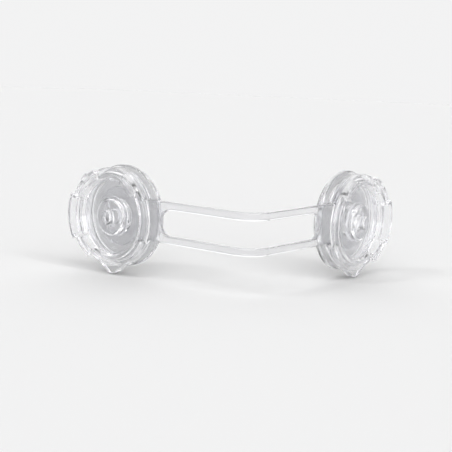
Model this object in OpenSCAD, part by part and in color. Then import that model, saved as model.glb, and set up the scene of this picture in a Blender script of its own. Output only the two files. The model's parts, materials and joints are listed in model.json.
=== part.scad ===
// Cabinet safety lock: two clear round units for two faces that meet square at a corner,
// joined by a clear slotted strap that bends round the corner. Millimetres, +Z up.
// The origin is the middle of the left pad's sticky face. That face looks along +Y, the right one along -X.

/* [Placement] */
// Distance from the corner to the middle of the left unit
left_reach = 65.5; // [50:0.5:90]
// Distance from the corner to the middle of the right unit
right_reach = 64; // [50:0.5:90]

/* [Strap] */
// Width of the strap
strap_w = 17.2; // [15:0.2:20]
// Thickness of the strap
strap_t = 2; // [1.4:0.1:2.6]
// Width of each rail beside the slot
rail_w = 3.4; // [2.4:0.1:5]
// Distance from a unit's middle to the near end of the slot
slot_start = 23; // [22:0.5:30]
// Radius of the strap's middle line where it goes round the corner
bend_r = 7; // [6:0.5:12]
// Diameter of the round paddle at each end of the strap
paddle_d = 25; // [23:0.5:28]
// Radius of the fillet where the paddle runs into the strap
paddle_fillet = 3; // [1:0.5:5]

/* [Adhesive pad] */
// Diameter of the pad
pad_d = 41; // [36:0.5:42]
// Thickness of the pad
pad_t = 1; // [0.6:0.1:2]

/* [Base] */
// Diameter of the base's flange
base_d = 43; // [42:0.5:50]
// Thickness of the flange
flange_t = 2; // [1.6:0.1:3]
// Rounding of the flange's front edge
flange_round = 0.8; // [0.2:0.1:1.2]
// Outside diameter of the neck that the cap turns on
neck_d = 36.4; // [35:0.2:38]
// Wall of the neck
neck_wall = 1.4; // [1:0.1:2]
// Height of the neck above the flange
neck_h = 5.4; // [4.8:0.1:7]
// Radius of the bead that the cap snaps over
bead_r = 0.45; // [0.3:0.05:0.6]
// Distance from the neck's top down to the bead
bead_drop = 1.2; // [0.8:0.1:1.6]
// Diameter of the post that holds the strap's paddle
post_d = 14; // [13:0.2:15]
// Height of the post above the flange
post_h = 2.6; // [2.6:0.1:3.2]

/* [Cap] */
// Wall of the cap's skirt
skirt_wall = 2.1; // [1.4:0.1:2.6]
// Radial width of the cap's ring, from its outside to the bowl
rim_w = 4.2; // [3:0.1:5]
// Width of the lip round the bowl
lip_w = 1.3; // [0.8:0.1:1.8]
// Step from the lip down to the ledge outside it
ledge_drop = 1.2; // [0.6:0.1:1.6]
// Thickness of the bowl's floor
floor_t = 1.3; // [1:0.1:2]
// Depth of the bowl below its lip
bowl_depth = 1.7; // [1:0.1:3]
// How much narrower the bowl is at its floor than at its rim
bowl_taper = 1; // [0.4:0.1:1.6]
// How far the raised grips stand above the lip
grip_h = 1.7; // [1:0.1:3]
// Rounding of the ring's and the grips' edges
rim_round = 0.6; // [0.2:0.1:0.9]
// Height of the opening in the skirt above the strap
slit_h = 2.6; // [1:0.1:3]

/* [Cap grips] */
// Width of the channel along the top of the raised grips
channel_w = 1; // [0.6:0.1:1.6]
// Depth of that channel
channel_depth = 1; // [0.4:0.1:1.4]
// How far the finger guard stands out of the cap
guard_out = 2.1; // [1:0.1:3]
// Wall of the finger guard
guard_wall = 1.4; // [1:0.1:2]
// Depth of the trough behind the finger guard, below the lip
trough_depth = 1.9; // [1:0.1:2.2]
// Width of the thumb tab where it leaves the cap
tab_w = 20; // [14:0.5:24]
// How far the thumb tab stands out of the cap
tab_out = 3.4; // [2:0.1:5]
// Thickness of the thumb tab
tab_t = 3.6; // [2:0.1:5]
// Radius of the thumb tab's tip
tab_tip_r = 4; // [2:0.5:6]
// How far the stop lug stands out of the cap
lug_out = 1.8; // [1:0.1:3]
// Width of the stop lug
lug_w = 3.6; // [2:0.1:5]
// Height of the stop lug
lug_h = 3.2; // [2:0.1:4]

/* [Button] */
// Diameter of the button
button_d = 15; // [13:0.2:16]
// Height of the button's dome above the bowl's floor
dome_h = 1.3; // [0.8:0.1:2]
// Rounding of the dome's edge
dome_round = 1.6; // [0.4:0.1:2]
// Diameter of the nub in the middle of the button
nub_d = 6; // [4:0.2:8]
// Height of the nub above the dome
nub_h = 2.2; // [1:0.1:3]
// Rounding of the nub's edge
nub_round = 1; // [0.2:0.1:1.5]
// How far the button's shoulder reaches under the cap
shoulder_w = 1.1; // [0.8:0.1:1.6]
// Thickness of the shoulder
shoulder_t = 1; // [0.8:0.1:1.4]
// Diameter of the stem that slides in the post
stem_d = 6; // [4:0.2:7]
// How far the stem reaches into the post
stem_in = 1.8; // [1:0.1:2.4]
// How far the button can be pressed
button_travel = 1.2; // [0.6:0.1:1.2]

/* [Spring washer] */
// Thickness of the spring washer
spring_t = 0.5; // [0.3:0.05:0.6]
// Number of slots between the washer's fingers
spring_slots = 6; // [4:1:8]
// Width of those slots
spring_slot_w = 0.9; // [0.5:0.1:1.2]

/* [Clearances] */
// Gap between pieces that move against each other
run_gap = 0.3; // [0.2:0.05:0.4]
// Gap round the strap in its gate and on its post
strap_gap = 0.2; // [0.1:0.05:0.3]
// Gap between the strap and the cap above it
lift_gap = 0.5; // [0.3:0.05:0.8]

/* [Hidden] */
$fn = 128;
cut = 0.5; // how far a cutting shape runs past the face it cuts
bite = 0.05; // how far an arc runs into the edge that it blends with

// Heights above the pad's sticky face
flange_top = pad_t + flange_t;
strap_top = flange_top + strap_t;
strap_mid = flange_top + strap_t / 2;
neck_top = flange_top + neck_h;
post_top = flange_top + post_h;
skirt_bottom = strap_top + lift_gap;
floor_bottom = neck_top + run_gap;
floor_top = floor_bottom + floor_t;
rim_top = floor_top + bowl_depth;
ledge_top = rim_top - ledge_drop;
grip_top = rim_top + grip_h;
shoulder_top = floor_bottom - run_gap;
shoulder_bottom = shoulder_top - shoulder_t;
dome_top = floor_top + dome_h;
nub_top = dome_top + nub_h;
stem_bottom = post_top - stem_in;
guide_bottom = stem_bottom - button_travel - run_gap;
trough_bottom = rim_top - trough_depth;

// Radii from a unit's axis
neck_r = neck_d / 2;
post_r = post_d / 2;
skirt_in_r = neck_r + run_gap;
cap_r = skirt_in_r + skirt_wall;
bowl_r = cap_r - rim_w;
bowl_floor_r = bowl_r - bowl_taper;
guard_r = cap_r + guard_out;
lip_r = bowl_r + lip_w;
trough_out_r = guard_r - guard_wall;
channel_in_r = (bowl_r + cap_r - channel_w) / 2;
channel_out_r = channel_in_r + channel_w;
button_r = button_d / 2;
shoulder_r = button_r + shoulder_w;
stem_r = stem_d / 2;
guide_r = stem_r + run_gap;
spring_in_r = guide_r + run_gap;
spring_out_r = post_r - run_gap;

// The strap
slot_r = strap_w / 2 - rail_w;
left_run = left_reach + strap_mid - bend_r;
right_run = right_reach + strap_mid - bend_r;

// Where things sit round a unit, in degrees from the strap's side, turning upwards
grips = [[38, 64], [112, 157], [211, 240]];
guard = [158, 210];
slit = [-27, 27];
tab_angle = -90;
lug_angle = 135;

clear = [0.86, 0.90, 0.93, 0.45];
clear_soft = [0.90, 0.92, 0.93, 0.45];
clear_gum = [0.92, 0.93, 0.90, 0.40];

// A unit is drawn lying down, with its strap along +X and the room above it. These two stand it on its face.
module on_left() { rotate([90, 0, 0]) children(); }
module on_right() {
    translate([left_reach, 0, 0])
        mirror([1, 1, 0])
            translate([-right_reach, 0, 0])
                on_left() children();
}

// Flat profiles, with the radius along X and the height along Y
module band(r0, r1, z0, z1) { translate([r0, z0]) square([r1 - r0, z1 - z0]); }

module band_round_top(r0, r1, z0, z1, r) {
    band(r0, r1, z0, z1 - r);
    band(r0 + r, r1 - r, z0, z1);
    for (x = [r0 + r, r1 - r]) translate([x, z1 - r]) circle(r);
}

module band_round_outer(r0, r1, z0, z1, r) {
    band(r0, r1, z0, z1 - r);
    band(r0, r1 - r, z0, z1);
    translate([r1 - r, z1 - r]) circle(r);
}

// Part of a turn of a flat profile, from one angle to another
module turned(from, to) { rotate([0, 0, from]) rotate_extrude(angle = to - from) children(); }

// Sticky pad
module pad() { cylinder(d = pad_d, h = pad_t); }

// Base: flange, neck with the strap's gate and the snap bead, and the post with the button's guide
module neck() {
    difference() {
        rotate_extrude() {
            band(neck_r - neck_wall, neck_r, flange_top - cut, neck_top);
            translate([neck_r, neck_top - bead_drop]) circle(bead_r);
        }
        translate([0, -strap_w / 2 - strap_gap, flange_top])
            cube([neck_r + bead_r + cut, strap_w + 2 * strap_gap, neck_h + cut]);
    }
}

module base() {
    difference() {
        union() {
            rotate_extrude() band_round_outer(0, base_d / 2, pad_t, flange_top, flange_round);
            neck();
            cylinder(r = post_r, h = post_top);
        }
        translate([0, 0, guide_bottom]) cylinder(r = guide_r, h = post_top);
        cylinder(r = base_d, h = pad_t);
    }
}

// Spring washer: a slotted cone between the post and the button's shoulder
module spring() {
    difference() {
        rotate_extrude()
            polygon([
                [spring_out_r, post_top],
                [spring_out_r, post_top + spring_t],
                [spring_in_r, shoulder_bottom],
                [spring_in_r, shoulder_bottom - spring_t]
            ]);
        for (i = [0 : spring_slots - 1])
            rotate([0, 0, i * 360 / spring_slots])
                translate([(spring_in_r + spring_out_r) / 2, -spring_slot_w / 2, post_top - cut])
                    cube([post_r, spring_slot_w, shoulder_bottom - post_top + 2 * cut]);
    }
}

// Push button: stem, shoulder that stays under the cap, dome and nub
module button() {
    rotate_extrude() {
        band(0, stem_r, stem_bottom, shoulder_bottom + cut);
        band(0, shoulder_r, shoulder_bottom, shoulder_top);
        band_round_outer(0, button_r, shoulder_bottom, dome_top, dome_round);
        band_round_outer(0, nub_d / 2, dome_top - cut, nub_top, nub_round);
    }
}

// Cap: the skirt, the ledge and the lip round the bowl, and the bowl's floor
module cap_body() {
    rotate_extrude()
        difference() {
            union() {
                band_round_outer(skirt_in_r, cap_r, skirt_bottom, ledge_top, rim_round);
                band_round_outer(button_r + run_gap, cap_r, floor_bottom, ledge_top, rim_round);
                band(bowl_floor_r, lip_r, floor_bottom, rim_top);
            }
            polygon([
                [0, floor_top],
                [bowl_floor_r, floor_top],
                [bowl_r, rim_top + cut],
                [0, rim_top + cut]
            ]);
            translate([neck_r, neck_top - bead_drop]) circle(bead_r + run_gap);
        }
}

module finger_guard() {
    turned(guard[0], guard[1])
        band_round_outer(channel_out_r, guard_r, skirt_bottom + lift_gap, grip_top, rim_round);
}

module guard_trough() {
    margin = guard_wall / guard_r * 180 / PI;
    turned(guard[0] + margin, guard[1] - margin)
        band(lip_r, trough_out_r, trough_bottom, grip_top + cut);
}

module grip_channel() {
    rotate_extrude()
        band(channel_in_r, channel_out_r, grip_top - channel_depth, grip_top + cut);
}

// Thumb tab: straight flanks that run tangent into a round tip
module thumb_tab() {
    tip_at = cap_r + tab_out - tab_tip_r;
    root_at = sqrt(pow(cap_r, 2) - pow(tab_w / 2, 2)) - rim_round;
    flank = norm([tab_w / 2, tip_at - root_at]);
    lean = atan2(tab_w / 2, root_at - tip_at) - acos(tab_tip_r / flank);
    touch = [tip_at + tab_tip_r * cos(lean), tab_tip_r * sin(lean)];
    rotate([0, 0, tab_angle])
        translate([0, 0, skirt_bottom + lift_gap])
            linear_extrude(tab_t)
                difference() {
                    union() {
                        translate([tip_at, 0]) circle(tab_tip_r);
                        polygon([
                            [root_at, -tab_w / 2],
                            [touch[0], -touch[1]],
                            touch,
                            [root_at, tab_w / 2]
                        ]);
                    }
                    circle(skirt_in_r + skirt_wall / 2);
                }
}

module stop_lug() {
    rotate([0, 0, lug_angle])
        translate([skirt_in_r + skirt_wall / 2, -lug_w / 2, rim_top - lug_h])
            cube([skirt_wall / 2 + lug_out, lug_w, lug_h]);
}

module cap() {
    difference() {
        union() {
            cap_body();
            for (g = grips)
                turned(g[0], g[1]) band_round_top(bowl_r, cap_r, floor_top, grip_top, rim_round);
            finger_guard();
            thumb_tab();
            stop_lug();
        }
        guard_trough();
        grip_channel();
        turned(slit[0], slit[1])
            band(skirt_in_r - cut, cap_r + cut, skirt_bottom - cut, skirt_bottom + slit_h);
    }
}

// Strap: a paddle with a hole for the post, then two rails beside the slot
module paddle_neck() {
    paddle_r = paddle_d / 2;
    far = paddle_r + paddle_fillet;
    y = strap_w / 2 + paddle_fillet;
    x = sqrt(pow(far, 2) - pow(y, 2));
    touch = [x, y] * paddle_r / far;
    difference() {
        polygon([[0, 0], touch, [x, y], [x, -y], [touch[0], -touch[1]]]);
        for (side = [-1, 1]) translate([x, side * y]) circle(paddle_fillet + bite);
    }
}

module strap_half(run) {
    translate([0, 0, flange_top])
        difference() {
            union() {
                cylinder(d = paddle_d, h = strap_t);
                translate([0, -strap_w / 2, 0]) cube([run, strap_w, strap_t]);
                linear_extrude(strap_t) paddle_neck();
            }
            translate([0, 0, -cut]) {
                cylinder(r = post_r + strap_gap, h = strap_t + 2 * cut);
                translate([slot_start + slot_r, 0, 0]) cylinder(r = slot_r, h = strap_t + 2 * cut);
                translate([slot_start + slot_r, -slot_r, 0]) cube([run, 2 * slot_r, strap_t + 2 * cut]);
            }
        }
}

module strap_corner() {
    translate([left_run, bend_r - strap_mid, 0])
        turned(-90, 0)
            for (z = [-strap_w / 2, slot_r])
                translate([bend_r - strap_t / 2, z]) square([strap_t, rail_w]);
}

module left_pad() { color(clear_gum) on_left() pad(); }
module left_base() { color(clear) on_left() base(); }
module left_spring() { color(clear) on_left() spring(); }
module left_button() { color(clear) on_left() button(); }
module left_cap() { color(clear) on_left() cap(); }
module strap_left() { color(clear_soft) on_left() strap_half(left_run); }
module strap_bend() { color(clear_soft) strap_corner(); }
module strap_right() { color(clear_soft) on_right() strap_half(right_run); }
module right_pad() { color(clear_gum) on_right() pad(); }
module right_base() { color(clear) on_right() base(); }
module right_spring() { color(clear) on_right() spring(); }
module right_button() { color(clear) on_right() button(); }
module right_cap() { color(clear) on_right() cap(); }

left_pad();
left_base();
left_spring();
left_button();
left_cap();
strap_left();
strap_bend();
strap_right();
right_pad();
right_base();
right_spring();
right_button();
right_cap();
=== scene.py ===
import json
import math

import bmesh
import bpy
from mathutils import Matrix, Vector


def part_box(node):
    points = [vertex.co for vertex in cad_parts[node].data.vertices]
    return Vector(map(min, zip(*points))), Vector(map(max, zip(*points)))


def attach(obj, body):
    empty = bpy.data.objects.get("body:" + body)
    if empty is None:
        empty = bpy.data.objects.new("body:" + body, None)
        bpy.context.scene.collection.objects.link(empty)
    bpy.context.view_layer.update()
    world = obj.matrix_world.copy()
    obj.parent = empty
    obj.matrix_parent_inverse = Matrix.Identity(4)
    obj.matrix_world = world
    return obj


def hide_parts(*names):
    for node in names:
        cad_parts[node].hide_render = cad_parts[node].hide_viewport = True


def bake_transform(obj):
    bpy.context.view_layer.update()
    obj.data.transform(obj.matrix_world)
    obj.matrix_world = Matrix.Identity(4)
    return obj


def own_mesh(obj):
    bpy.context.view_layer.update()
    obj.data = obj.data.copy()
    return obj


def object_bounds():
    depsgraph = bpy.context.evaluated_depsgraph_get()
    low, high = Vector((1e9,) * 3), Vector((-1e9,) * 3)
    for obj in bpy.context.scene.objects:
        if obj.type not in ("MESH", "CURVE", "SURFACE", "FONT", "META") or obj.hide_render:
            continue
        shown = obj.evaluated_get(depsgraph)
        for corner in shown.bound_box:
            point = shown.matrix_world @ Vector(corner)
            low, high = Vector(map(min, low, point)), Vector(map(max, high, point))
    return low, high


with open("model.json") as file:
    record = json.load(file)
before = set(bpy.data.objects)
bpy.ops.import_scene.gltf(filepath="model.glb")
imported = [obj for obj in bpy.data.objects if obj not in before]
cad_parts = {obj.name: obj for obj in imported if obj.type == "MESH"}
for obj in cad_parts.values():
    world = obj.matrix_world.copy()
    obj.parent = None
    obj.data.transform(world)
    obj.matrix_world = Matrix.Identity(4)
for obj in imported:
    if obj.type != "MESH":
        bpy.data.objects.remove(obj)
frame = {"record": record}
cad_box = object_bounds()

# Lengths are in millimetres and angles in degrees, until a mesh is made.
# Heights are above the sticky face of a unit's pad, and radii are from the unit's axis.
MM = 0.001
X, Y, Z = 0, 1, 2


def span(node, axis):
    """Lowest and highest place of a CAD node along one axis."""
    low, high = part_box(node)
    return low[axis] / MM, high[axis] / MM


def heights(node):
    """Lowest and highest place of a node of the left unit above its pad's sticky face."""
    low, high = span(node, Y)
    return -high, -low


def half_size(node):
    """Half of a node's size along Z, which is the radius of a round piece."""
    low, high = span(node, Z)
    return (high - low) / 2


# Sizes that the CAD nodes give
right_mount = next(m for m in frame["record"]["mounts"] if m["name"] == "right_pad_face")
LEFT_REACH = right_mount["pos_m"][X] / MM
RIGHT_REACH = right_mount["pos_m"][Y] / MM
PAD_BOTTOM, PAD_TOP = heights("left_pad")
FLANGE_BOTTOM, NECK_TOP = heights("left_base")
FLANGE_TOP, STRAP_TOP = heights("strap_left")
SKIRT_BOTTOM, GRIP_TOP = heights("left_cap")
STEM_BOTTOM, NUB_TOP = heights("left_button")
POST_TOP, SHOULDER_BOTTOM = heights("left_spring")
PAD_R = half_size("left_pad")
BASE_R = half_size("left_base")
SHOULDER_R = half_size("left_button")
SPRING_OUT_R = half_size("left_spring")
PADDLE_R = half_size("strap_left")
STRAP_W = 2 * half_size("strap_bend")

# Gaps: round the strap, and between pieces whose CAD faces touch
STRAP_GAP = 0.2
TOUCH_GAP = 0.03

# Roundings that many edges share
CRISP = 0.1
ROOT = 0.12
TIGHT = 0.15
SMALL = 0.2
EASY = 0.25
SOFT = 0.3

# Base
NECK_R = 18.2
NECK_IN_R = 16.8
POST_R = 7.0
GUIDE_R = 3.3
GUIDE_BOTTOM = 2.3
BEAD_OUT = 0.45
BEAD_HALF = 0.5
BEAD_H = NECK_TOP - 1.2
BEAD_ROUND = 0.35
FLANGE_ROUND = 0.8
GATE_HALF = math.degrees(math.asin((STRAP_W / 2 + STRAP_GAP) / NECK_R))
GATE = (-GATE_HALF, GATE_HALF)
# Share of the neck's height that the gate cuts away: the hair that is left keeps the outline from folding
GATE_CUT = 0.998

# Cap
SKIRT_IN_R = 18.5
CAP_R = 20.6
BOWL_R = 16.4
BOWL_FLOOR_R = 15.4
BOWL_ROUND = 0.6
HOLE_R = 7.8
FLOOR_BOTTOM = NECK_TOP + 0.3
FLOOR_TOP = FLOOR_BOTTOM + 1.3
RIM_TOP = FLOOR_TOP + 1.7
RIM_ROUND = 0.6
LIP_R = BOWL_R + 1.3
LEDGE_TOP = RIM_TOP - 1.2
GROOVE_OUT = 0.45
GROOVE_HALF = 0.69
GROOVE_ROUND = 0.5
SLIT = (-27, 27)
SLIT_H = 2.6
GRIPS = ((38, 64), (112, 157), (211, 240))
CHANNEL_IN_R = 18
CHANNEL_OUT_R = 19
CHANNEL_DEPTH = 1
GUARD = (158, 210)
GUARD_OUT = 2.1
GUARD_R = CAP_R + GUARD_OUT
GUARD_WALL = 1.4
TROUGH_MARGIN = math.degrees(GUARD_WALL / GUARD_R)
TROUGH = (GUARD[0] + TROUGH_MARGIN, GUARD[1] - TROUGH_MARGIN)
TROUGH_OUT_R = GUARD_R - GUARD_WALL
TROUGH_FLOOR = RIM_TOP - 1.9
# What stands out of the cap's side: its lowest edge, its least step above the skirt's edge, its rounding
SIDE_BOTTOM = SKIRT_BOTTOM + 0.5
SIDE_STEP = 0.4
SIDE_ROUND = 0.4
TAB_ANGLE = -90
TAB_SECTOR = 40
TAB_W = 20
TAB_OUT = 3.4
TAB_TOP = SIDE_BOTTOM + 3.6
TAB_TIP_R = 4
LUG_ANGLE = 135
LUG_HALF_ANGLE = 5
LUG = (LUG_ANGLE - LUG_HALF_ANGLE, LUG_ANGLE + LUG_HALF_ANGLE)
LUG_OUT = 1.8
LUG_TOP = RIM_TOP - 0.1
LUG_BOTTOM = RIM_TOP - 3.2

# Button and spring washer
BUTTON_R = 7.5
STEM_R = 3.0
SHOULDER_TOP = SHOULDER_BOTTOM + 1.0
NUB_R = 3.0
NUB_ROUND = 1.0
DOME_TOP = NUB_TOP - 2.2
DOME_EDGE_TOP = DOME_TOP - 0.5
DOME_EDGE_ROUND = 1.1
CROWN_R = NUB_R + 1.6
CROWN_ROUND = 2.5
SPRING_IN_R = 3.6
SPRING_T = 0.5
SPRING_SLOTS = 6
SPRING_SLOT_HALF = 4.5

# Strap, which bows round the corner a little more widely than the CAD bend
BEND_R = 10
STRAP_MID = (FLANGE_TOP + STRAP_TOP) / 2
STRAP_T = STRAP_TOP - FLANGE_TOP
STRAP_EDGE = 0.9
RAIL_W = 3.4
SLOT_START = 23
SLOT_R = STRAP_W / 2 - RAIL_W
RAILS_FROM = SLOT_START + SLOT_R
PADDLE_HOLE_R = POST_R + STRAP_GAP
PADDLE_FILLET = 3
LEFT_RUN = LEFT_REACH + STRAP_MID - BEND_R
RIGHT_RUN = RIGHT_REACH + STRAP_MID - BEND_R
BEND_LENGTH = BEND_R * math.pi / 2
STRAP_LENGTH = LEFT_RUN + BEND_LENGTH + RIGHT_RUN

# How finely the meshes are drawn
COLUMN_STEP = 2
SOFT_EDGE = 0.9
EDGE_SAMPLES = (-0.85, -0.5, -0.3, -0.1, 0.1, 0.3, 0.5, 0.85)
FINGER_STEPS = 12
PADDLE_STEPS = 40
FILLET_STEPS = 8
SLOT_STEPS = 32
HOLE_STEPS = 72
STRAP_EDGE_STEPS = 5
BEND_CUTS = 24
WELD = 0.0005
STRAP_WELD = 0.001
FLATS_WEIGHT = 80

# How a corner of an outline is rounded: an arc, and a short hold beside it that keeps the flats flat
ARC_STEPS = 4
CORNER_POINTS = ARC_STEPS + 3
ARC_SHARE = 0.4
HOLD = 0.12
HOLD_SHARE = 0.08
LEAST_ROOM = 1e-4
NEARLY_STRAIGHT = 1.56


# Small sums
def ease(t):
    """Smooth step from 0 to 1."""
    t = min(max(t, 0.0), 1.0)
    return t * t * (3 - 2 * t)


def turn_from(angle, centre):
    """Signed turn from one angle to another."""
    return (angle - centre + 180) % 360 - 180


def inside(angle, sector):
    """1 inside a sector, 0 outside it, with a soft step at each of its ends."""
    middle = (sector[0] + sector[1]) / 2
    half = (sector[1] - sector[0]) / 2
    return ease((half - abs(turn_from(angle, middle))) / SOFT_EDGE + 0.5)


def columns(*sectors):
    """Angles round a unit, closer together at the ends of the given sectors."""
    angles = {float(a) for a in range(0, 360, COLUMN_STEP)}
    for sector in sectors:
        for edge in sector:
            angles = {a for a in angles if abs(turn_from(a, edge)) > SOFT_EDGE}
            angles |= {(edge + SOFT_EDGE * k) % 360 for k in EDGE_SAMPLES}
    return sorted(angles)


def rounded(corners, closed):
    """Outline with an arc at each corner. A corner is a radius from the axis, a height and a rounding."""
    outline = []
    count = len(corners)
    for i, (r, h, rounding) in enumerate(corners):
        here = Vector((r, h))
        if not closed and i in (0, count - 1):
            outline.append(here)
            continue
        before = Vector(corners[i - 1][:2]) - here
        after = Vector(corners[(i + 1) % count][:2]) - here
        room = min(before.length, after.length)
        half = before.angle(after, math.pi) / 2
        if room < LEAST_ROOM or half > NEARLY_STRAIGHT:
            outline += [here] * CORNER_POINTS
            continue
        back = min(rounding / math.tan(half), ARC_SHARE * room)
        hold = min(HOLD, HOLD_SHARE * room)
        before.normalize()
        after.normalize()
        centre = here + (before + after).normalized() * back / math.cos(half)
        start = here + before * back - centre
        end = here + after * back - centre
        swing = math.pi - 2 * half
        outline.append(here + before * (back + hold))
        for k in range(ARC_STEPS + 1):
            part = k / ARC_STEPS
            first = math.sin((1 - part) * swing) / math.sin(swing)
            second = math.sin(part * swing) / math.sin(swing)
            outline.append(centre + start * first + end * second)
        outline.append(here + after * (back + hold))
    return outline


# Placing: a unit is drawn lying down, with its strap along +X and its height as h
def on_left(x, y, h):
    """A point of the left unit."""
    return Vector((x, -h, y)) * MM


def on_right(x, y, h):
    """A point of the right unit."""
    return Vector((LEFT_REACH + h, RIGHT_REACH - x, y)) * MM


def on_corner(s, y, h):
    """A point of the strap, s along its length from the left unit's axis."""
    if s <= LEFT_RUN:
        return on_left(s, y, h)
    if s >= LEFT_RUN + BEND_LENGTH:
        return on_right(STRAP_LENGTH - s, y, h)
    turn = (s - LEFT_RUN) / BEND_R
    radius = BEND_R + h - STRAP_MID
    middle = Vector((LEFT_RUN, BEND_R - STRAP_MID))
    return Vector((middle.x + radius * math.sin(turn), middle.y - radius * math.cos(turn), y)) * MM


# Outlines of the round pieces
def pad_outline(angle):
    """Sticky pad."""
    return rounded([
        (0, PAD_BOTTOM, 0),
        (PAD_R, PAD_BOTTOM, EASY),
        (PAD_R, PAD_TOP - TOUCH_GAP, EASY),
        (0, PAD_TOP - TOUCH_GAP, 0),
    ], closed=False)


def base_outline(angle):
    """Base: flange, neck with the snap bead, and post. In the gate, the neck sinks to the flange."""
    wall = 1 - GATE_CUT * inside(angle, GATE)
    neck_top = FLANGE_TOP + (NECK_TOP - FLANGE_TOP) * wall
    bead = FLANGE_TOP + (BEAD_H - FLANGE_TOP) * wall
    return rounded([
        (0, FLANGE_BOTTOM, 0),
        (BASE_R, FLANGE_BOTTOM, SOFT),
        (BASE_R, FLANGE_TOP, FLANGE_ROUND),
        (NECK_R, FLANGE_TOP, SMALL),
        (NECK_R, bead - BEAD_HALF * wall, CRISP),
        (NECK_R + BEAD_OUT * wall, bead, BEAD_ROUND),
        (NECK_R, bead + BEAD_HALF * wall, CRISP),
        (NECK_R, neck_top, EASY),
        (NECK_IN_R, neck_top, EASY),
        (NECK_IN_R, FLANGE_TOP, SMALL),
        (POST_R, FLANGE_TOP, SMALL),
        (POST_R, POST_TOP, SOFT),
        (GUIDE_R, POST_TOP, SMALL),
        (GUIDE_R, GUIDE_BOTTOM, TIGHT),
        (0, GUIDE_BOTTOM, 0),
    ], closed=False)


def button_outline(angle):
    """Push button: stem, shoulder, dome and nub."""
    return rounded([
        (0, STEM_BOTTOM, 0),
        (STEM_R, STEM_BOTTOM, SOFT),
        (STEM_R, SHOULDER_BOTTOM, SMALL),
        (SHOULDER_R, SHOULDER_BOTTOM, SMALL),
        (SHOULDER_R, SHOULDER_TOP, SMALL),
        (BUTTON_R, SHOULDER_TOP, CRISP),
        (BUTTON_R, DOME_EDGE_TOP, DOME_EDGE_ROUND),
        (CROWN_R, DOME_TOP, CROWN_ROUND),
        (NUB_R, DOME_TOP, SOFT),
        (NUB_R, NUB_TOP, NUB_ROUND),
        (0, NUB_TOP, 0),
    ], closed=False)


def tab_reach(angle):
    """How far the thumb tab stands out of the cap at an angle: straight flanks that run into a round tip."""
    turn = math.radians(abs(turn_from(angle, TAB_ANGLE)))
    if turn >= math.radians(TAB_SECTOR):
        return 0
    tip_at = CAP_R + TAB_OUT - TAB_TIP_R
    root_at = math.sqrt(CAP_R ** 2 - (TAB_W / 2) ** 2) - RIM_ROUND
    flank = math.hypot(TAB_W / 2, tip_at - root_at)
    lean = math.atan2(TAB_W / 2, root_at - tip_at) - math.acos(TAB_TIP_R / flank)
    touch_x = tip_at + TAB_TIP_R * math.cos(lean)
    touch_y = TAB_TIP_R * math.sin(lean)
    if turn < math.atan2(touch_y, touch_x):
        across = tip_at * math.sin(turn)
        reach = tip_at * math.cos(turn) + math.sqrt(TAB_TIP_R ** 2 - across ** 2)
    else:
        reach = (tip_at * math.cos(lean) + TAB_TIP_R) / math.cos(turn - lean)
    return max(reach - CAP_R, 0)


def groove_depth(height):
    """Depth of the snap groove in the cap's skirt at a height."""
    return GROOVE_OUT * max(0, 1 - abs(height - BEAD_H) / GROOVE_HALF)


def cap_outline(angle):
    """Cap: skirt with tab, lug and guard outside, ring with grips and trough, bowl, and snap groove."""
    grip = max(inside(angle, sector) for sector in GRIPS)
    guard = inside(angle, GUARD)
    trough = inside(angle, TROUGH)
    near_lug = abs(turn_from(angle, LUG_ANGLE)) < 2 * LUG_HALF_ANGLE
    bottom = SKIRT_BOTTOM + SLIT_H * inside(angle, SLIT)
    outer_top = LEDGE_TOP + (GRIP_TOP - LEDGE_TOP) * max(grip, guard)
    lip_top = RIM_TOP + (GRIP_TOP - RIM_TOP) * grip
    dip = LEDGE_TOP + (GRIP_TOP - CHANNEL_DEPTH - LEDGE_TOP) * grip + (TROUGH_FLOOR - LEDGE_TOP) * trough
    dip_in = LIP_R + (CHANNEL_IN_R - LIP_R) * grip
    dip_out = CHANNEL_OUT_R + (TROUGH_OUT_R - CHANNEL_OUT_R) * trough
    out_top = GUARD_OUT * guard
    out_low = max(out_top, tab_reach(angle), LUG_OUT * inside(angle, LUG))
    low = LUG_BOTTOM if near_lug else max(SIDE_BOTTOM, bottom + SIDE_STEP)
    high = LUG_TOP if near_lug else TAB_TOP
    groove = [max(BEAD_H + step * GROOVE_HALF, bottom) for step in (1, 0, -1)]
    return rounded([
        (SKIRT_IN_R + groove_depth(bottom), bottom, SMALL),
        (CAP_R, bottom, EASY),
        (CAP_R, low, ROOT),
        (CAP_R + out_low, low, SOFT),
        (CAP_R + out_low, high, SIDE_ROUND),
        (CAP_R + out_top, high, ROOT),
        (CAP_R + out_top, outer_top, RIM_ROUND),
        (dip_out, outer_top, EASY),
        (dip_out, dip, EASY),
        (dip_in, dip, EASY),
        (dip_in, lip_top, SOFT),
        (BOWL_R, lip_top, SOFT),
        (BOWL_FLOOR_R, FLOOR_TOP, BOWL_ROUND),
        (HOLE_R, FLOOR_TOP, EASY),
        (HOLE_R, FLOOR_BOTTOM, SMALL),
        (SKIRT_IN_R, FLOOR_BOTTOM, TIGHT),
        (SKIRT_IN_R, groove[0], CRISP),
        (SKIRT_IN_R + groove_depth(groove[1]), groove[1], GROOVE_ROUND),
        (SKIRT_IN_R + groove_depth(groove[2]), groove[2], CRISP),
    ], closed=True)


# Meshes
def sweep(outline_at, angles, place, closed):
    """Mesh of an outline carried round a unit's axis. An open outline starts and ends on the axis."""
    bm = bmesh.new()
    rows = []
    for angle in angles:
        a = math.radians(angle)
        row = []
        for r, h in outline_at(angle):
            row.append(bm.verts.new(place(r * math.cos(a), r * math.sin(a), h)))
        rows.append(row)
    count = len(rows[0])
    last = count if closed else count - 1
    for i, row in enumerate(rows):
        following = rows[(i + 1) % len(rows)]
        for j in range(last):
            k = (j + 1) % count
            bm.faces.new((row[j], following[j], following[k], row[k]))
    return bm


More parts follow.
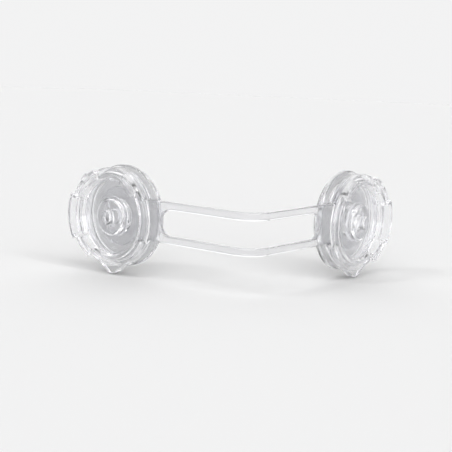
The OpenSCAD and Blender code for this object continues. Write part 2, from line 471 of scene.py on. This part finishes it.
def spring_mesh(place):
    """Slotted cone: a ring of fingers under the button's shoulder."""
    bm = bmesh.new()
    pitch = 360 / SPRING_SLOTS
    middle = (SPRING_IN_R + SPRING_OUT_R) / 2
    inner_top = SHOULDER_BOTTOM - TOUCH_GAP
    outer_top = POST_TOP + SPRING_T + TOUCH_GAP
    rows = []
    fingers = []
    for slot in range(SPRING_SLOTS):
        start = slot * pitch
        turns = [start - SPRING_SLOT_HALF, start + SPRING_SLOT_HALF]
        for k in range(1, FINGER_STEPS):
            turns.append(start + SPRING_SLOT_HALF + (pitch - 2 * SPRING_SLOT_HALF) * k / FINGER_STEPS)
        for k, turn in enumerate(turns):
            a = math.radians(turn)
            fingers.append(k > 0)
            row = []
            for r in (SPRING_IN_R, middle, SPRING_OUT_R):
                slope = (r - SPRING_IN_R) / (SPRING_OUT_R - SPRING_IN_R)
                top = inner_top + (outer_top - inner_top) * slope
                pair = []
                for h in (top, top - SPRING_T):
                    pair.append(bm.verts.new(place(r * math.cos(a), r * math.sin(a), h)))
                row.append(pair)
            rows.append(row)
    for i, row in enumerate(rows):
        following = rows[(i + 1) % len(rows)]
        rings = 2 if fingers[i] else 1
        for j in range(rings):
            for level in (0, 1):
                quad = (row[j], row[j + 1], following[j + 1], following[j])
                bm.faces.new([pair[level] for pair in quad])
        for j in (0, rings):
            bm.faces.new((row[j][0], following[j][0], following[j][1], row[j][1]))
        if fingers[i] != fingers[i - 1]:
            bm.faces.new((row[1][0], row[2][0], row[2][1], row[1][1]))
    return bm


# Strap, drawn flat and then carried round the corner
def strap_outer_half():
    """Outer edge from the far side of the left paddle to the strap's straight side, on the upper half."""
    far = PADDLE_R + PADDLE_FILLET
    y = STRAP_W / 2 + PADDLE_FILLET
    x = math.sqrt(far ** 2 - y ** 2)
    meet = math.atan2(y, x)
    points = []
    for k in range(PADDLE_STEPS + 1):
        a = math.pi + (meet - math.pi) * k / PADDLE_STEPS
        points.append((PADDLE_R * math.cos(a), PADDLE_R * math.sin(a)))
    for k in range(1, FILLET_STEPS + 1):
        a = math.pi + meet + (math.pi / 2 - meet) * k / FILLET_STEPS
        points.append((x + PADDLE_FILLET * math.cos(a), y + PADDLE_FILLET * math.sin(a)))
    return points


def mirrored(points):
    """The same points seen from the strap's other end."""
    return [(STRAP_LENGTH - x, y) for x, y in reversed(points)]


def arc_points(x, r, start, end, steps):
    """Points of an arc round a place on the strap's middle line."""
    points = []
    for k in range(steps + 1):
        a = math.radians(start + (end - start) * k / steps)
        points.append((x + r * math.cos(a), r * math.sin(a)))
    return points


def strap_loops():
    """Closed outlines of the flat strap: its outer edge, its two holes and its slot."""
    upper = strap_outer_half()
    upper += mirrored(upper)
    lower = [(x, -y) for x, y in reversed(upper[1:-1])]
    slot_end = arc_points(RAILS_FROM, SLOT_R, 270, 90, SLOT_STEPS)
    hole = arc_points(0, PADDLE_HOLE_R, 0, 360, HOLE_STEPS)[:-1]
    return [upper + lower, hole, mirrored(hole), slot_end + mirrored(slot_end)]


def strap_mesh():
    """The strap with rounded edges, cut across where its rails begin and along its bend."""
    flat = bpy.data.curves.new("strap_flat", "CURVE")
    flat.dimensions = "2D"
    flat.fill_mode = "BOTH"
    flat.extrude = (STRAP_T - TOUCH_GAP) / 2 - STRAP_EDGE
    flat.bevel_depth = STRAP_EDGE
    flat.bevel_resolution = STRAP_EDGE_STEPS
    flat.offset = -STRAP_EDGE
    for loop in strap_loops():
        spline = flat.splines.new("POLY")
        spline.points.add(len(loop) - 1)
        spline.use_cyclic_u = True
        for point, (x, y) in zip(spline.points, loop):
            point.co = (x, y, 0, 1)
    holder = bpy.data.objects.new("strap_flat", flat)
    solid = bpy.data.meshes.new_from_object(holder)
    bm = bmesh.new()
    bm.from_mesh(solid)
    bpy.data.objects.remove(holder)
    bpy.data.curves.remove(flat)
    bpy.data.meshes.remove(solid)
    bmesh.ops.remove_doubles(bm, verts=bm.verts, dist=STRAP_WELD)
    cuts = [RAILS_FROM, STRAP_LENGTH - RAILS_FROM]
    cuts += [LEFT_RUN + BEND_LENGTH * k / BEND_CUTS for k in range(BEND_CUTS + 1)]
    for s in cuts:
        everything = bm.verts[:] + bm.edges[:] + bm.faces[:]
        bmesh.ops.bisect_plane(bm, geom=everything, plane_co=(s, 0, 0), plane_no=(1, 0, 0), dist=STRAP_WELD)
    for v in bm.verts:
        v.co = on_corner(v.co.x, v.co.y, STRAP_MID + TOUCH_GAP / 2 + v.co.z)
    return bm


# Materials
def node_maker(tree):
    """Functions that add a node with the given inputs, and that link two sockets."""
    def add(kind, **inputs):
        node = tree.nodes.new(kind)
        for name, value in inputs.items():
            node.inputs[name.replace("_", " ")].default_value = value
        return node

    return add, tree.links.new


def plastic(name, tint, transmission, ior, roughness, mark_scale, wave_scale, wave_strength):
    """Moulded plastic: slow waves from the mould's flow, and fine handling marks in its gloss."""
    material = bpy.data.materials.new(name)
    material.use_nodes = True
    tree = material.node_tree
    add, link = node_maker(tree)
    shader = tree.nodes["Principled BSDF"]
    shader.inputs["Base Color"].default_value = tint + (1,)
    shader.inputs["Transmission Weight"].default_value = transmission
    shader.inputs["IOR"].default_value = ior
    place = add("ShaderNodeTexCoord")
    marks = add("ShaderNodeTexNoise", Scale=mark_scale, Detail=6.0, Roughness=0.6)
    level = add("ShaderNodeMapRange", From_Min=0.35, From_Max=0.75, To_Min=roughness[0], To_Max=roughness[1])
    waves = add("ShaderNodeTexNoise", Scale=wave_scale, Detail=2.0)
    bump = add("ShaderNodeBump", Strength=wave_strength, Distance=MM)
    link(place.outputs["Object"], marks.inputs["Vector"])
    link(place.outputs["Object"], waves.inputs["Vector"])
    link(marks.outputs["Fac"], level.inputs["Value"])
    link(level.outputs["Result"], shader.inputs["Roughness"])
    link(waves.outputs["Fac"], bump.inputs["Height"])
    link(bump.outputs["Normal"], shader.inputs["Normal"])
    return material


PLASTICS = {
    "clear_body": plastic(
        "clear_body", tint=(0.956, 0.957, 0.968), transmission=1.0, ior=1.52,
        roughness=(0.0, 0.03), mark_scale=900, wave_scale=120, wave_strength=0.02,
    ),
    # The strap's tint is darker than the body's to paint shade: the extra grey stands for the shade that
    # falls behind the strap and its paddle
    "clear_strap": plastic(
        "clear_strap", tint=(0.895, 0.896, 0.91), transmission=1.0, ior=1.5,
        roughness=(0.01, 0.06), mark_scale=700, wave_scale=90, wave_strength=0.1,
    ),
    "clear_pad": plastic(
        "clear_pad", tint=(0.97, 0.97, 0.973), transmission=0.7, ior=1.45,
        roughness=(0.12, 0.3), mark_scale=400, wave_scale=700, wave_strength=0.1,
    ),
}


# Pieces
def add_piece(name, bm, slot):
    """Clean a mesh, turn its faces outwards, and make an object that is smooth but keeps its flats."""
    bmesh.ops.remove_doubles(bm, verts=bm.verts, dist=WELD * MM)
    bmesh.ops.dissolve_degenerate(bm, edges=bm.edges, dist=WELD * MM)
    bmesh.ops.recalc_face_normals(bm, faces=bm.faces)
    mesh = bpy.data.meshes.new(name)
    bm.to_mesh(mesh)
    bm.free()
    mesh.materials.append(PLASTICS[slot])
    for face in mesh.polygons:
        face.use_smooth = True
    piece = bpy.data.objects.new(name, mesh)
    bpy.context.scene.collection.objects.link(piece)
    flats = piece.modifiers.new("flats", "WEIGHTED_NORMAL")
    flats.weight = FLATS_WEIGHT
    return piece


def add_unit_piece(node, bm, slot, body):
    """A piece that shows in place of one CAD node and moves with a body."""
    piece = add_piece(f"{node}_form", bm, slot)
    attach(piece, body)
    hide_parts(node)
    return piece


plain_columns = columns()
base_columns = columns(GATE)
cap_columns = columns(*GRIPS, GUARD, SLIT, LUG, TROUGH)

for side, place in (("left", on_left), ("right", on_right)):
    unit = f"{side}_unit"
    cap = f"{side}_cap"
    button = f"{side}_button"

    pad_bm = sweep(pad_outline, plain_columns, place, closed=False)
    add_unit_piece(f"{side}_pad", pad_bm, "clear_pad", unit)

    base_bm = sweep(base_outline, base_columns, place, closed=False)
    add_unit_piece(f"{side}_base", base_bm, "clear_body", unit)

    # The spring washer gets a mesh of its own; it is drawn at rest, not flattened by the button's travel
    spring_piece = add_unit_piece(f"{side}_spring", spring_mesh(place), "clear_body", unit)
    face_out = place(0, 0, 1) - place(0, 0, 0)
    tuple(place(0, 0, POST_TOP))
    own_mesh(spring_piece)

    button_bm = sweep(button_outline, plain_columns, place, closed=False)
    add_unit_piece(button, button_bm, "clear_body", button)

    cap_bm = sweep(cap_outline, cap_columns, place, closed=True)
    add_unit_piece(cap, cap_bm, "clear_body", cap)

strap_piece = add_piece("strap_form", strap_mesh(), "clear_strap")
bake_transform(strap_piece)
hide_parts("strap_left", "strap_bend", "strap_right")

# Floor, just under the lowest point. From here on, lengths are in metres.
FLOOR_HALF = 6
FLOOR_GAP = 0.0005
FLOOR_COLOUR = (0.826, 0.826, 0.826, 1)
FLOOR_ROUGHNESS = 0.7
floor_z = cad_box[0].z - FLOOR_GAP
floor_corners = [(x * FLOOR_HALF, y * FLOOR_HALF, floor_z) for x, y in ((-1, -1), (1, -1), (1, 1), (-1, 1))]
floor_mesh = bpy.data.meshes.new("floor")
floor_mesh.from_pydata(floor_corners, [], [(0, 1, 2, 3)])
floor = bpy.data.objects.new("floor", floor_mesh)
bpy.context.scene.collection.objects.link(floor)
floor_material = bpy.data.materials.new("floor")
floor_material.use_nodes = True
floor_shader = floor_material.node_tree.nodes["Principled BSDF"]
floor_shader.inputs["Base Color"].default_value = FLOOR_COLOUR
floor_shader.inputs["Roughness"].default_value = FLOOR_ROUGHNESS
floor_shader.inputs["Specular IOR Level"].default_value = 0.0
floor_mesh.materials.append(floor_material)

# Sky: pale at the horizon, dim above it and brighter overhead, with a bright patch in front and one behind,
# so that the clear edges show as lines. A stop has the height where it stands, from 0 to 1, and its colour.
# A patch has the direction of its middle, the cosines where it starts and is full, and its level.
SKY_STRENGTH = 2.4
HORIZON = (0.372, 0.372, 0.373, 1)
DIM = (0.02, 0.02, 0.021, 1)
OVERHEAD = (0.12, 0.12, 0.12, 1)
SKY_STOPS = ((0.12, HORIZON), (0.18, DIM), (0.8, DIM), (0.88, OVERHEAD))
SKY_PATCHES = (
    ((0.58, -0.58, 0.58), 0.7, 0.86, 0.95),
    ((-0.45, 0.55, 0.7), 0.8, 0.9, 0.55),
)
world = bpy.data.worlds.new("studio")
bpy.context.scene.world = world
world.use_nodes = True
add, link = node_maker(world.node_tree)
background = world.node_tree.nodes["Background"]
background.inputs["Strength"].default_value = SKY_STRENGTH
direction = add("ShaderNodeTexCoord")
parts = add("ShaderNodeSeparateXYZ")
ramp = add("ShaderNodeValToRGB")
stops = ramp.color_ramp.elements
stops[0].color = HORIZON
stops[1].color = OVERHEAD
for height, colour in SKY_STOPS:
    stops.new(height).color = colour
link(direction.outputs["Generated"], parts.inputs["Vector"])
link(parts.outputs["Z"], ramp.inputs["Fac"])
sky = ramp.outputs["Color"]
for toward, wide, narrow, level in SKY_PATCHES:
    facing = add("ShaderNodeVectorMath")
    facing.operation = "DOT_PRODUCT"
    facing.inputs[1].default_value = Vector(toward).normalized()
    patch = add("ShaderNodeMapRange", From_Min=wide, From_Max=narrow, To_Max=level)
    patch.interpolation_type = "SMOOTHSTEP"
    brighter = add("ShaderNodeVectorMath")
    link(direction.outputs["Generated"], facing.inputs[0])
    link(facing.outputs["Value"], patch.inputs["Value"])
    link(sky, brighter.inputs[0])
    link(patch.outputs["Result"], brighter.inputs[1])
    sky = brighter.outputs["Vector"]
link(sky, background.inputs["Color"])

# Two distant softboxes
SOFTBOX_ANGLE = math.radians(16)


def softbox(name, toward, power):
    """A wide, soft lamp that shines from a direction."""
    lamp = bpy.data.lights.new(name, "SUN")
    lamp.angle = SOFTBOX_ANGLE
    lamp.energy = power
    holder = bpy.data.objects.new(name, lamp)
    holder.rotation_euler = (-Vector(toward)).to_track_quat("-Z", "Y").to_euler()
    bpy.context.scene.collection.objects.link(holder)


softbox("key", toward=(-0.35, -0.65, 0.75), power=0.5)
softbox("fill", toward=(0.85, -0.05, 0.6), power=0.3)

# Camera at the photograph's angle. Its focal length is in pixels of the image.
CAMERA_AT = (0.2828, -0.2915, 0.0561)
YAW = math.radians(38.22)
PITCH = math.radians(8.35)
ROLL = math.radians(2.14)
IMAGE_W = 452
FOCAL_LENGTH = 961
SENSOR_W = 36
NEAREST = 0.01
camera_data = bpy.data.cameras.new("camera")
camera_data.sensor_width = SENSOR_W
camera_data.lens = SENSOR_W * FOCAL_LENGTH / IMAGE_W
camera_data.clip_start = NEAREST
camera = bpy.data.objects.new("camera", camera_data)
ahead = Vector((-math.sin(YAW) * math.cos(PITCH), math.cos(YAW) * math.cos(PITCH), -math.sin(PITCH)))
level_right = Vector((math.cos(YAW), math.sin(YAW), 0))
level_up = level_right.cross(ahead)
right = level_right * math.cos(ROLL) + level_up * math.sin(ROLL)
up = right.cross(ahead)
turned = Matrix((right, up, -ahead)).transposed().to_4x4()
camera.matrix_world = Matrix.Translation(CAMERA_AT) @ turned
bpy.context.scene.collection.objects.link(camera)
bpy.context.scene.camera = camera

# Clear pieces lie several deep, so light may pass through many faces
BOUNCES = 32
bpy.context.scene.cycles.max_bounces = BOUNCES
bpy.context.scene.cycles.glossy_bounces = BOUNCES
bpy.context.scene.cycles.transmission_bounces = BOUNCES
bpy.context.scene.view_settings.view_transform = "Standard"
